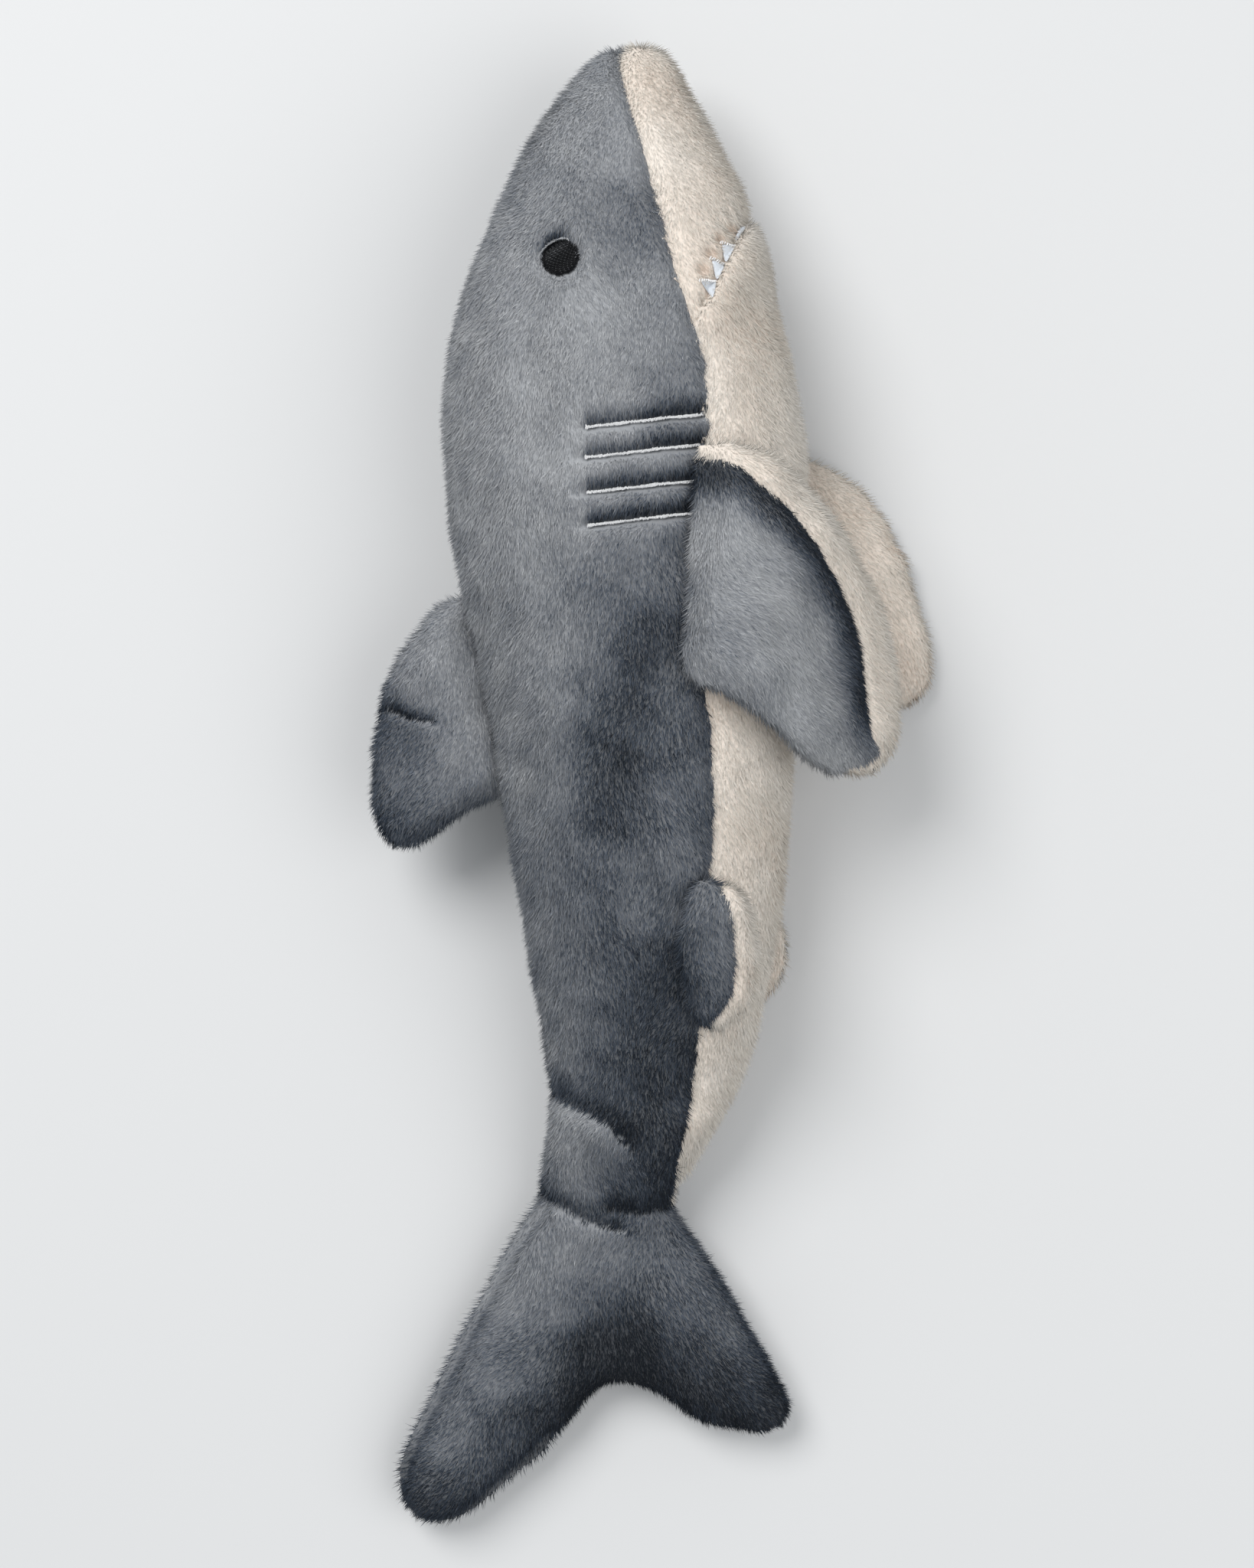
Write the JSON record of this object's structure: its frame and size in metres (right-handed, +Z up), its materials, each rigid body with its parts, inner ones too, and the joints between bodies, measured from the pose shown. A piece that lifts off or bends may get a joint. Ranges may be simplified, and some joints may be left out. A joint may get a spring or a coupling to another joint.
{
  "type": "plush shark",
  "caption": "Soft toy shark of sewn grey and cream pile fabric over loose fibre filling, lying on its left side, with bending tail, fins and jaw.",
  "frame": {"origin": "on the floor under the middle of the toy's box", "axes": "+Z up, +Y from the tail to the nose, +X from the back to the belly; the toy lies on its left side"},
  "size_m": [0.164, 0.4307, 0.0827],
  "materials": {
    "grey_plush": "short silky grey pile, darker where it is brushed up",
    "cream_plush": "short silky cream pile",
    "white_satin": "white satin with a stitched edge",
    "white_thread": "white embroidery thread in a close satin stitch",
    "black_thread": "glossy black embroidery thread in rows",
    "lining": "thin woven lining",
    "fibre_fill": "loose polyester fibre"
  },
  "bodies": {
    "torso": {"torso_filling": "fibre_fill", "flank_panel_right": "grey_plush", "flank_panel_left": "grey_plush", "snout_panel": "cream_plush", "belly_panel": "cream_plush", "mouth_lining_upper": "lining", "eye_right": "black_thread", "eye_left": "black_thread", "gill_stitch_right_1": "white_thread", "gill_stitch_right_2": "white_thread", "gill_stitch_right_3": "white_thread", "gill_stitch_right_4": "white_thread", "gill_stitch_left_1": "white_thread", "gill_stitch_left_2": "white_thread", "gill_stitch_left_3": "white_thread", "gill_stitch_left_4": "white_thread"},
    "jaw": {"jaw_panel": "cream_plush", "jaw_filling": "fibre_fill", "mouth_lining_lower": "lining", "tooth_band_right": "white_satin", "tooth_band_left": "white_satin"},
    "tail_stalk": {"stalk_panel_right": "grey_plush", "stalk_panel_left": "grey_plush", "stalk_panel_belly": "cream_plush", "stalk_filling": "fibre_fill"},
    "caudal_fin": {"caudal_panel_right": "grey_plush", "caudal_panel_left": "grey_plush", "caudal_filling": "fibre_fill"},
    "dorsal_fin": {"dorsal_panel_right": "grey_plush", "dorsal_panel_left": "grey_plush", "dorsal_filling": "fibre_fill"},
    "pectoral_right": {"pectoral_right_panel_grey": "grey_plush", "pectoral_right_panel_cream": "cream_plush", "pectoral_right_filling": "fibre_fill"},
    "pectoral_left": {"pectoral_left_panel_cream": "cream_plush", "pectoral_left_panel_grey": "grey_plush", "pectoral_left_filling": "fibre_fill"},
    "pelvic_right": {"pelvic_right_panel_grey": "grey_plush", "pelvic_right_panel_cream": "cream_plush", "pelvic_right_filling": "fibre_fill"},
    "pelvic_left": {"pelvic_left_panel_cream": "cream_plush", "pelvic_left_panel_grey": "grey_plush", "pelvic_left_filling": "fibre_fill"}
  },
  "joints": [
    {"name": "jaw_open", "type": "hinge", "parent": "torso", "child": "jaw", "pos_m": [0.01416, 0.13825, 0.036], "axis": [0, 0, -1], "range_deg": [0, 12], "stiffness_Nm_per_rad": 0.05},
    {"name": "stalk_bend", "type": "hinge", "parent": "torso", "child": "tail_stalk", "pos_m": [-0.00094, -0.09165, 0.0208], "axis": [-1, 0, 0], "range_deg": [0, 25], "stiffness_Nm_per_rad": 0.6},
    {"name": "caudal_swish", "type": "hinge", "parent": "tail_stalk", "child": "caudal_fin", "pos_m": [-0.00094, -0.12065, 0.0138], "axis": [-1, 0, 0], "range_deg": [0, 30], "stiffness_Nm_per_rad": 0.4},
    {"name": "dorsal_fold", "type": "hinge", "parent": "torso", "child": "dorsal_fin", "pos_m": [-0.05574, 0.02595, 0.0339], "axis": [-0.2027, 0.9792, 0], "range_deg": [-30, 30], "stiffness_Nm_per_rad": 0.08},
    {"name": "pectoral_right_flap", "type": "hinge", "parent": "torso", "child": "pectoral_right", "pos_m": [0.01321, 0.06545, 0.077], "axis": [-0.0509, -0.9987, 0], "range_deg": [0, 60], "stiffness_Nm_per_rad": 0.08},
    {"name": "pectoral_left_flap", "type": "hinge", "parent": "torso", "child": "pectoral_left", "pos_m": [0.02886, 0.06985, 0.0028], "axis": [0, -1, 0], "range_deg": [0, 12], "stiffness_Nm_per_rad": 0.08},
    {"name": "pelvic_right_flap", "type": "hinge", "parent": "torso", "child": "pelvic_right", "pos_m": [0.01336, -0.03325, 0.0625], "axis": [-0.2677, -0.9635, 0], "range_deg": [0, 60], "stiffness_Nm_per_rad": 0.03},
    {"name": "pelvic_left_flap", "type": "hinge", "parent": "torso", "child": "pelvic_left", "pos_m": [0.02326, -0.03665, 0.0023], "axis": [-0.05, -0.9987, 0], "range_deg": [0, 10], "stiffness_Nm_per_rad": 0.03}
  ]
}
